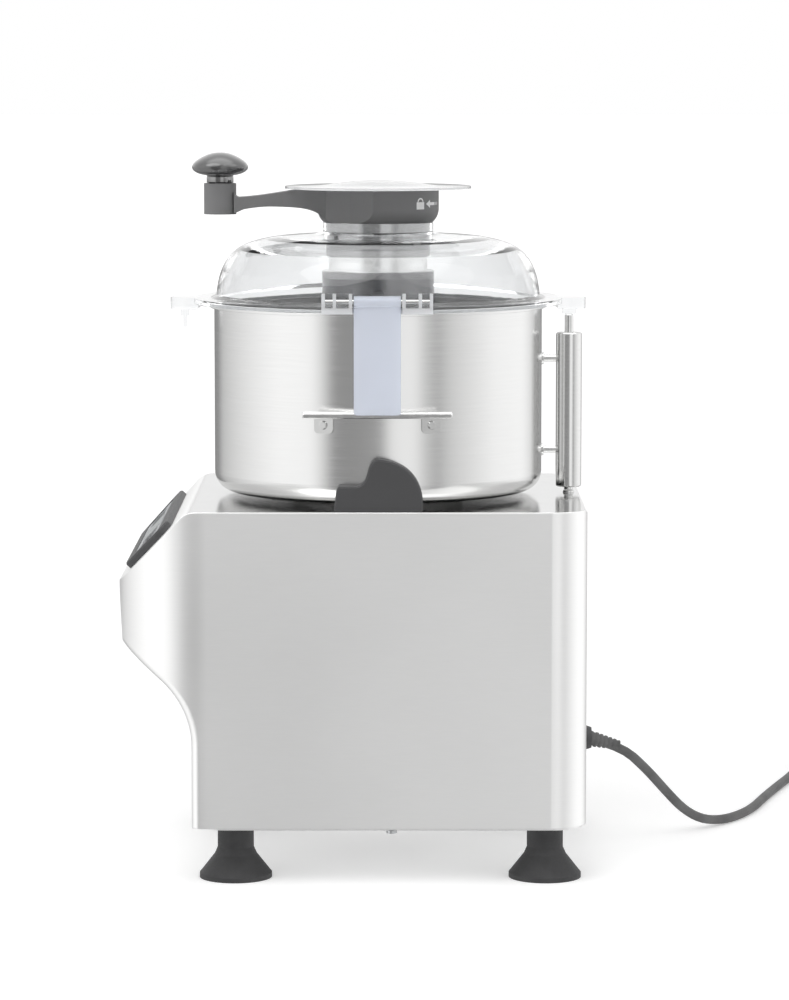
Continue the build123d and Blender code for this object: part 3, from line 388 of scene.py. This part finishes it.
def arc_strip(centre, radius, width, start, end, steps=14):
    """The outline of a bent strip, with angles in degrees."""
    sweep = [radians(start + (end - start) * i / steps) for i in range(steps + 1)]

    def edge(reach):
        return [(centre[0] + reach * cos(angle), centre[1] + reach * sin(angle)) for angle in sweep]

    return edge(radius + width / 2) + edge(radius - width / 2)[::-1]


def rectangle(x, y, width, height):
    """The outline of a rectangle about its middle."""
    return [(x - width / 2, y - height / 2), (x + width / 2, y - height / 2),
            (x + width / 2, y + height / 2), (x - width / 2, y + height / 2)]


def rounded(x, y, width, height, radius):
    """The outline of a rectangle with round corners."""
    points = []
    for corner, (sx, sy) in enumerate(((1, 1), (-1, 1), (-1, -1), (1, -1))):
        for i in range(5):
            angle = radians(90 * corner + 22.5 * i)
            points.append((x + sx * (width / 2 - radius) + radius * cos(angle),
                           y + sy * (height / 2 - radius) + radius * sin(angle)))
    return points


# ---- Settings ----

class FinishSettings(bpy.types.PropertyGroup):
    """Colours of the visible materials."""

    steel: bpy.props.FloatVectorProperty(name="Steel", description="Colour of the stainless steel",
                                         default=(0.78, 0.78, 0.775), subtype="COLOR", min=0, max=1)
    sheet: bpy.props.FloatVectorProperty(name="Sheet", description="Colour of the brushed body sheet",
                                         default=(0.95, 0.95, 0.945), subtype="COLOR", min=0, max=1)
    crank: bpy.props.FloatVectorProperty(name="Crank", description="Colour of the crank's plastic",
                                         default=(0.18, 0.18, 0.182), subtype="COLOR", min=0, max=1)
    plastic: bpy.props.FloatVectorProperty(name="Moulded plastic", description="Colour of the guide blocks",
                                           default=(0.055, 0.055, 0.057), subtype="COLOR", min=0, max=1)
    rubber: bpy.props.FloatVectorProperty(name="Rubber", description="Colour of the feet",
                                          default=(0.034, 0.034, 0.035), subtype="COLOR", min=0, max=1)
    sleeve: bpy.props.FloatVectorProperty(name="Lead", description="Colour of the mains lead's sleeve",
                                          default=(0.09, 0.09, 0.09), subtype="COLOR", min=0, max=1)
    lever: bpy.props.FloatVectorProperty(name="Levers", description="Colour of the translucent lid levers",
                                         default=(0.8, 0.84, 0.93), subtype="COLOR", min=0, max=1)
    mark: bpy.props.FloatVectorProperty(name="Marks", description="Colour of the printed lock mark",
                                        default=(0.8, 0.8, 0.8), subtype="COLOR", min=0, max=1)


class LeadSettings(bpy.types.PropertyGroup):
    """Sizes of the mains lead."""

    diameter: bpy.props.FloatProperty(name="Diameter", description="Outer diameter of the lead",
                                      default=0.007, unit="LENGTH", min=0.004, max=0.012)
    length: bpy.props.FloatProperty(name="Length", description="Real length from the body to the plug",
                                    default=1.6, unit="LENGTH", min=0.5, max=5)
    relief: bpy.props.FloatProperty(name="Strain relief", description="Length of the tapered strain relief",
                                    default=0.026, unit="LENGTH", min=0.02, max=0.06)


class StageSettings(bpy.types.PropertyGroup):
    """The camera, the lamps and the floor."""

    focal: bpy.props.FloatProperty(name="Focal length", description="Camera lens in millimetres",
                                   default=143.5, min=20, max=400)
    distance: bpy.props.FloatProperty(name="Distance", description="Camera to the bowl's axis, level",
                                      default=2.92, unit="LENGTH", min=0.5, max=10)
    height: bpy.props.FloatProperty(name="Height", description="Camera height above the floor",
                                    default=0.583, unit="LENGTH", min=0, max=3)
    aim: bpy.props.FloatProperty(name="Aim", description="Height on the bowl's axis where the camera aims",
                                 default=0.2611, unit="LENGTH", min=0, max=1)
    floor: bpy.props.FloatVectorProperty(name="Floor", description="Colour of the floor",
                                         default=(0.86, 0.86, 0.86), subtype="COLOR", min=0, max=1)


# ---- Pieces ----

class BOWLCUTTER_OT_steel(bpy.types.Operator):
    """Finishes the sheet, turned and polished steel parts"""
    bl_idname = "bowlcutter.steel"
    bl_label = "Steel parts"

    def execute(self, context):
        settings = context.scene.bowlcutter_finish
        dress(satin_sheet(settings), "housing", "bottom_plate")
        dress(turned_steel(settings), "bowl", "bowl_seat", "motor_bracket")
        dress(bright_steel(settings), "handle_tube", "handle_standoffs", "safety_rod", "catch_bars",
              "catch_nuts", "switch_plunger", "knife_hub", "blade_spacer", "clamp_ring", "latch_pins")
        # Painted shade: the neck bush's steel is darkened in its colour, standing in for the shade it sits
        # in between the crank's hub and the dome.
        dress(painted_shade_steel("neck_steel", 0.45), "neck_bush")
        dress(plain_finish("ground_blade", (0.55, 0.56, 0.57), (0.66, 0.67, 0.68), (0.16, 0.3), scale=120,
                           metallic=1.0), "lower_blades", "upper_blades", "drive_shaft", "bearings")
        dress(plain_finish("zinc_plate", (0.5, 0.51, 0.52), (0.62, 0.63, 0.64), (0.28, 0.42), scale=500,
                           metallic=1.0), "foot_screws", "pan_screws", "seat_screws", "motor_pillars",
              "knob_pin")
        return {"FINISHED"}


class BOWLCUTTER_OT_mouldings(bpy.types.Operator):
    """Finishes the plastic and rubber mouldings"""
    bl_idname = "bowlcutter.mouldings"
    bl_label = "Plastic and rubber parts"

    def execute(self, context):
        settings = context.scene.bowlcutter_finish
        dress(carrier_finish(settings), "scraper_carrier")
        dress(moulded_plastic("crank_plastic", settings.crank), "crank")
        dress(moulded_plastic("moulded_plastic", settings.plastic), "scraper_arms", "bowl_lock_blocks",
              "control_bezel", "knife_grip", "cable_gland", "gland_nut", "safety_switch", "cooling_fan")
        dress(rubber_finish("foot_rubber", settings.rubber), "rubber_feet", "shaft_seal", "plug")
        dress(plain_finish("white_plastic", (0.62, 0.62, 0.6), (0.7, 0.7, 0.68), (0.35, 0.5)),
              "handle_bushes", "scraper_wipers", "terminal_block")
        dress(plain_finish("silicone", (0.5, 0.51, 0.52), (0.6, 0.61, 0.62), (0.4, 0.55)), "lid_seal")
        return {"FINISHED"}


class BOWLCUTTER_OT_clear_parts(bpy.types.Operator):
    """Finishes the lid, the feed cover and the levers"""
    bl_idname = "bowlcutter.clear_parts"
    bl_label = "Clear parts"

    def execute(self, context):
        settings = context.scene.bowlcutter_finish
        dress(clear_plastic(), "lid")
        dress(cover_plastic(), "feed_cover")
        dress(frosted_plastic(settings), "near_lever", "far_lever")
        return {"FINISHED"}


class BOWLCUTTER_OT_drive(bpy.types.Operator):
    """Finishes the motor and the electrics inside the body"""
    bl_idname = "bowlcutter.drive"
    bl_label = "Motor and electrics"

    def execute(self, context):
        dress(plain_finish("cast_alloy", (0.42, 0.43, 0.44), (0.52, 0.53, 0.54), (0.45, 0.6), metallic=1.0,
                           depth=0.0002), "end_bells", "motor_casing", "speed_controller")
        dress(plain_finish("laminations", (0.1, 0.1, 0.11), (0.2, 0.2, 0.21), (0.4, 0.55), scale=700,
                           metallic=1.0), "stator_core", "motor_rotor")
        dress(plain_finish("copper_wire", (0.42, 0.16, 0.06), (0.6, 0.26, 0.1), (0.25, 0.4), scale=900,
                           metallic=1.0, depth=0.0003), "stator_windings")
        dress(plain_finish("circuit_board", (0.01, 0.09, 0.03), (0.02, 0.14, 0.05), (0.3, 0.45)),
              "control_board")
        dress(plain_finish("capacitor_can", (0.3, 0.3, 0.31), (0.36, 0.36, 0.37), (0.3, 0.4)),
              "run_capacitor")
        dress(plain_finish("brass", (0.5, 0.36, 0.14), (0.62, 0.46, 0.2), (0.2, 0.34), metallic=1.0),
              "plug_pins")
        return {"FINISHED"}


KNOB_X = BOWL_X - 0.1154
# The knob's side outline from its neck up to its crown: radius and height in millimetres
KNOB_OUTLINE = [(9.3, 494.5), (9.3, 499.2), (9.9, 499.8), (12.5, 500.2), (15.6, 501.0), (18.3, 502.3),
                (20.0, 503.9), (20.6, 505.6), (20.2, 507.3), (19.2, 508.8), (17.6, 510.3), (15.5, 511.8),
                (13.0, 513.2), (10.0, 514.6), (6.5, 515.8), (3.2, 516.35), (0.4, 516.5)]
COLLAR_OUTLINE = [(8.0, 494.35), (9.6, 494.4), (9.8, 494.7), (9.8, 498.9), (9.6, 499.2), (8.0, 499.25)]


class BOWLCUTTER_OT_knob(bpy.types.Operator):
    """Turns the mushroom knob and its bright collar"""
    bl_idname = "bowlcutter.knob"
    bl_label = "Knob"

    def turned(self, name, outline, finish, slot):
        form = bmesh.new()
        base = outline[0][1]
        steps = [((height - base) / 1000, radius / 1000) for radius, height in outline]
        lathe(form, steps, Vector((KNOB_X, 0, base / 1000)), Vector((0, 0, 1)), steps=64)
        return solid(name, form, finish, "knob_set")

    def execute(self, context):
        knob = self.turned("mushroom_knob", KNOB_OUTLINE, gloss_plastic(), "knob_plastic")
        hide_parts("knob")
        # Painted shade: the collar's steel is darkened in its colour, standing in for the shade under the
        # knob's head.
        self.turned("knob_collar", COLLAR_OUTLINE, painted_shade_steel("collar_steel", 0.28), "polished_steel")
        return {"FINISHED"}


HUB_RADIUS = 0.0444
# The height of the hub's marks, and how far round the hub the padlock and the arrow lie
MARK_HEIGHT, LOCK_AT, ARROW_AT = 0.4798, 0.034, 0.046


class BOWLCUTTER_OT_lock_mark(bpy.types.Operator):
    """Prints the padlock and the arrow on the crank's hub"""
    bl_idname = "bowlcutter.lock_mark"
    bl_label = "Lock mark"

    def execute(self, context):
        ink = print_finish("white_ink", context.scene.bowlcutter_finish.mark)
        reach = HUB_RADIUS + PRINT_LIFT

        def on_hub(along, height):
            turn = along / HUB_RADIUS
            return Vector((BOWL_X + reach * sin(turn), -reach * cos(turn), height))

        shapes = [rectangle(LOCK_AT, 0.4786, 0.0076, 0.0052),
                  arc_strip((LOCK_AT, 0.4814), 0.0024, 0.001, 0, 180),
                  [(ARROW_AT - 0.006, MARK_HEIGHT), (ARROW_AT - 0.001, 0.4768), (ARROW_AT - 0.001, 0.4828)],
                  rectangle(ARROW_AT + 0.0025, MARK_HEIGHT, 0.007, 0.0022)]
        shapes += [rectangle(ARROW_AT + 0.0075 + 0.002 * i, MARK_HEIGHT, 0.0011, 0.0022) for i in range(3)]
        printed("lock_mark", shapes, on_hub, ink, "crank_set")
        return {"FINISHED"}


PANEL_THICK = 0.002
# The directions up along the panel's face and out of it
PANEL_UP, PANEL_OUT = (0.6801, 0, 0.7331), (-0.7331, 0, 0.6801)
# How far the four keys lie to each side of the panel's middle
KEYS_AT = (-0.072, -0.05, 0.05, 0.072)


class BOWLCUTTER_OT_panel(bpy.types.Operator):
    """Finishes the sloping front panel and prints its window and keys"""
    bl_idname = "bowlcutter.panel"
    bl_label = "Front panel"

    def execute(self, context):
        low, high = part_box("display_panel")
        slope = Vector(PANEL_UP)
        middle = Vector(((low.x + high.x) / 2, 0, (low.z + high.z) / 2))
        centre = middle + Vector(PANEL_OUT) * (PANEL_THICK / 2 + PRINT_LIFT)

        def on_slope(across, up):
            return centre + slope * up - Vector((0, across, 0))

        window_ink = print_finish("display_window", (0.38, 0.4, 0.4))
        window = [rounded(0, 0, 0.064, 0.018, 0.003)]
        printed("panel_window", window, on_slope, window_ink, "base")
        keys = [arc_strip((across, 0), 0.0078, 0.0008, start, start + 180)
                for across in KEYS_AT for start in (0, 180)]
        # Start, stop, less and more
        signs = [[(-0.0752, -0.0036), (-0.0682, 0), (-0.0752, 0.0036)], rectangle(-0.05, 0, 0.006, 0.006),
                 rectangle(0.05, 0, 0.007, 0.0014), rectangle(0.072, 0, 0.007, 0.0014),
                 rectangle(0.072, 0, 0.0014, 0.007)]
        ink = print_finish("grey_ink", (0.12, 0.125, 0.135))
        printed("panel_keys", keys + signs, on_slope, ink, "base")
        dress(plain_finish("panel_sheet", (0.66, 0.68, 0.7), (0.7, 0.72, 0.74), (0.16, 0.24), scale=200,
                           depth=0.00002), "display_panel")
        return {"FINISHED"}


LEAD_ROUTE = [(0.168, 0, 0.084), (0.194, 0.005, 0.077), (0.214, 0.020, 0.057), (0.230, 0.037, 0.037),
              (0.245, 0.056, 0.019), (0.261, 0.076, 0.0075), (0.278, 0.095, 0.0037),
              (0.293, 0.116, 0.0037), (0.306, 0.146, 0.0037), (0.317, 0.185, 0.0037),
              (0.332, 0.233, 0.0037), (0.349, 0.284, 0.0037)]
COIL_CENTRE = (0.4134, 0.342)
COIL_RADIUS, COIL_TURNS, POINTS_PER_TURN = 0.0484, 4.5, 20
LEAD_HEIGHT = 0.0037  # the lead's middle where it lies on the floor
RELIEF_RIBS = 5


class BOWLCUTTER_OT_mains_lead(bpy.types.Operator):
    """Lays the mains lead to its coil and plug, with a tapered strain relief"""
    bl_idname = "bowlcutter.mains_lead"
    bl_label = "Mains lead"

    def coil(self, diameter):
        """The coil's points: a flat spiral inward on the floor and another outward on top of it."""
        points = []
        pitch = diameter + 0.0001
        for i in range(int(COIL_TURNS * POINTS_PER_TURN) + 1):
            turn = i / POINTS_PER_TURN
            radius = COIL_RADIUS - pitch * min(turn, COIL_TURNS - turn)
            climb = min(max((turn - 2.05) / 0.35, 0), 1)
            height = LEAD_HEIGHT + (diameter + 0.0002) * climb
            angle = pi - 2 * pi * turn
            # The control points lie outside the curve that they bend
            reach = radius / cos(pi / POINTS_PER_TURN)
            points.append((COIL_CENTRE[0] + reach * cos(angle), COIL_CENTRE[1] + reach * sin(angle),
                           height))
        return points

    def execute(self, context):
        settings = context.scene.bowlcutter_lead
        rubber = rubber_finish("lead_sleeve", context.scene.bowlcutter_finish.sleeve)
        plug_low, plug_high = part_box("plug")
        tail = Vector(((plug_low.x + plug_high.x) / 2, plug_high.y, 0.0082))
        points = LEAD_ROUTE + self.coil(settings.diameter)
        points.append((tail.x, tail.y + 0.006, 0.0095))
        points.append(tuple(tail - Vector((0, 0.004, 0))))
        curve = bpy.data.curves.new("mains_lead", "CURVE")
        curve.dimensions = "3D"
        curve.bevel_depth = settings.diameter / 2
        curve.bevel_resolution = 5
        curve.use_fill_caps = True
        line = curve.splines.new("NURBS")
        line.points.add(len(points) - 1)
        for control, place in zip(line.points, points):
            control.co = (*place, 1)
        line.order_u = 3
        line.use_endpoint_u = True
        line.resolution_u = 4
        curve.materials.append(rubber)
        lead = bpy.data.objects.new("mains_lead", curve)
        context.collection.objects.link(lead)
        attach(lead, "base")
        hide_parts("power_cord", "cord_coil")

        form = bmesh.new()
        start = Vector(LEAD_ROUTE[0])
        along = Vector(LEAD_ROUTE[1]) - start
        bare = settings.diameter / 2 + 0.0002
        outline = [(0.0, 0.0058), (0.004, 0.0058)]
        rib = (settings.relief - 0.008) / RELIEF_RIBS
        for i in range(RELIEF_RIBS):
            radius = 0.0056 - 0.0004 * i
            base = 0.006 + rib * i
            outline += [(base, radius - 0.0008), (base + 0.3 * rib, radius), (base + 0.7 * rib, radius),
                        (base + 0.85 * rib, radius - 0.0009)]
        outline += [(settings.relief, bare)]
        lathe(form, outline, start, along)
        relief = solid("strain_relief", form, rubber, "base")
        return {"FINISHED"}


# What reflections see round the horizon: degrees from the camera's side, and brightness
STUDIO_BOXES = [(-180, 0.25), (-152, 0.32), (-140, 0.68), (-117, 0.92), (-100, 1.08), (-85, 1.2),
                (-73, 1.28), (-46, 1.26), (-38, 0.9), (-31, 0.34), (-17, 0.36), (2, 0.42), (9, 1.12),
                (26, 1.15), (33, 0.75), (42, 0.5), (48, 0.72), (53, 0.83), (64, 0.95), (76, 1.08),
                (90, 1.22), (122, 1.28), (135, 1.0), (149, 0.5), (180, 0.25)]
STUDIO_PEAK = 1.3
# How bright reflections see the ceiling, and how much less light falls on matt surfaces
CEILING, MATT_LOSS = 2.0, 0.45
STAGE_X = BOWL_X + 0.012  # the camera's place along the machine


class BOWLCUTTER_OT_stage(bpy.types.Operator):
    """Sets the floor, the studio light and the camera"""
    bl_idname = "bowlcutter.stage"
    bl_label = "Stage"

    def floor(self, colour):
        """A wide pale floor: it keeps the shadow, and clear parts show it as white as the backdrop."""
        finish = Finish("floor", Roughness=0.9, Base_Color=(*colour, 1), Emission_Color=(1, 1, 1, 1),
                        Emission_Strength=0.3)
        white = finish.add("ShaderNodeEmission", inputs={"Color": (1, 1, 1, 1), "Strength": 1.0})
        through = finish.add("ShaderNodeLightPath", output="Is Transmission Ray")
        finish.blend(through, white)
        mesh = bpy.data.meshes.new("floor")
        mesh.from_pydata([(-20, -8, 0), (20, -8, 0), (20, 40, 0), (-20, 40, 0)], [], [(0, 1, 2, 3)])
        mesh.materials.append(finish.material)
        floor = bpy.data.objects.new("floor", mesh)
        floor.visible_glossy = False
        bpy.context.collection.objects.link(floor)

    def studio(self):
        """White to the eye and through clear parts. Reflections see soft boxes with darker gaps between."""
        world = bpy.data.worlds.new("studio")
        world.use_nodes = True
        bpy.context.scene.world = world
        shading = Shading(world.node_tree)
        point = shading.add("ShaderNodeTexCoord", output="Generated")
        x, y, z = (shading.axis(point, index) for index in range(3))
        round_about = x.math("ARCTAN2", x, 0 - y) * (0.5 / pi) + 0.5
        stops = [(angle / 360 + 0.5, (level / STUDIO_PEAK,) * 3 + (1,)) for angle, level in STUDIO_BOXES]
        boxes = shading.add("ShaderNodeValToRGB", {"stops": stops}, {"Fac": round_about}) * STUDIO_PEAK
        height = shading.add("ShaderNodeMapRange", inputs={
            "Value": z, "From Min": -0.2, "From Max": 0.0, "To Min": 0.86, "To Max": 1.0})
        bounces = shading.add("ShaderNodeLightPath", output="Glossy Depth")
        mirrored = bounces.math("MINIMUM", bounces, 1)
        diffuse = shading.add("ShaderNodeLightPath", output="Is Diffuse Ray")
        overhead = shading.add("ShaderNodeMapRange", inputs={"Value": z, "From Min": 0.82, "From Max": 0.92})
        above = shading.add("ShaderNodeMapRange", inputs={"Value": z, "From Min": 0.0, "From Max": 0.06})
        behind = shading.add("ShaderNodeMapRange", inputs={"Value": y, "From Min": 0.0, "From Max": 0.3})
        back_wall = above * behind
        round_seen = boxes * height * (1 - back_wall) + back_wall
        seen = round_seen * (1 - overhead) + overhead * CEILING
        strength = 1 - diffuse * MATT_LOSS + (1 - diffuse) * mirrored * (seen - 1)
        shading.tree.links.new(strength.socket, shading.tree.nodes["Background"].inputs["Strength"])
        shading.tree.nodes["Background"].inputs["Color"].default_value = (1, 1, 1, 1)

    def lamp(self, name, direction, power):
        """A soft sun that shines in a direction."""
        data = bpy.data.lights.new(name, "SUN")
        data.energy = power
        data.angle = radians(50)
        lamp = bpy.data.objects.new(name, data)
        lamp.rotation_euler = Vector(direction).to_track_quat("-Z", "Y").to_euler()
        bpy.context.collection.objects.link(lamp)

    def execute(self, context):
        settings = context.scene.bowlcutter_stage
        self.floor(settings.floor)
        self.studio()
        self.lamp("key", (0.5, 0.7, -1.0), 1.0)
        self.lamp("fill", (-0.7, 0.5, -0.8), 0.5)

        data = bpy.data.cameras.new("camera")
        data.lens = settings.focal
        data.clip_end = 50
        camera = bpy.data.objects.new("camera", data)
        camera.location = (STAGE_X, -settings.distance, settings.height)
        aim = Vector((STAGE_X, 0, settings.aim)) - camera.location
        camera.rotation_euler = aim.to_track_quat("-Z", "Y").to_euler()
        context.collection.objects.link(camera)
        context.scene.camera = camera
        context.scene.view_settings.view_transform = "Standard"
        return {"FINISHED"}


OPERATORS = (BOWLCUTTER_OT_stage, BOWLCUTTER_OT_steel, BOWLCUTTER_OT_mouldings, BOWLCUTTER_OT_clear_parts,
             BOWLCUTTER_OT_drive, BOWLCUTTER_OT_knob, BOWLCUTTER_OT_lock_mark, BOWLCUTTER_OT_panel,
             BOWLCUTTER_OT_mains_lead)


class BOWLCUTTER_PT_pieces(bpy.types.Panel):
    """Lists the bowl cutter's pieces in the sidebar"""
    bl_idname = "BOWLCUTTER_PT_pieces"
    bl_label = "Bowl Cutter"
    bl_space_type = "VIEW_3D"
    bl_region_type = "UI"
    bl_category = "Bowl Cutter"

    def draw(self, context):
        column = self.layout.column()
        for operator in OPERATORS:
            column.operator(operator.bl_idname)
        for group in (context.scene.bowlcutter_finish, context.scene.bowlcutter_lead,
                      context.scene.bowlcutter_stage):
            for name in group.bl_rna.properties.keys():
                if name not in {"rna_type", "name"}:
                    column.prop(group, name)


CLASSES = (FinishSettings, LeadSettings, StageSettings, *OPERATORS, BOWLCUTTER_PT_pieces)


def register():
    for cls in CLASSES:
        bpy.utils.register_class(cls)
    bpy.types.Scene.bowlcutter_finish = bpy.props.PointerProperty(type=FinishSettings)
    bpy.types.Scene.bowlcutter_lead = bpy.props.PointerProperty(type=LeadSettings)
    bpy.types.Scene.bowlcutter_stage = bpy.props.PointerProperty(type=StageSettings)


def unregister():
    del bpy.types.Scene.bowlcutter_stage
    del bpy.types.Scene.bowlcutter_lead
    del bpy.types.Scene.bowlcutter_finish
    for cls in reversed(CLASSES):
        bpy.utils.unregister_class(cls)


def main():
    """Registers the add-on and makes every piece."""
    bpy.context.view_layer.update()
    register()
    for operator in OPERATORS:
        getattr(bpy.ops.bowlcutter, operator.bl_idname.split(".")[1])()


if __name__ == "__main__":
    main()
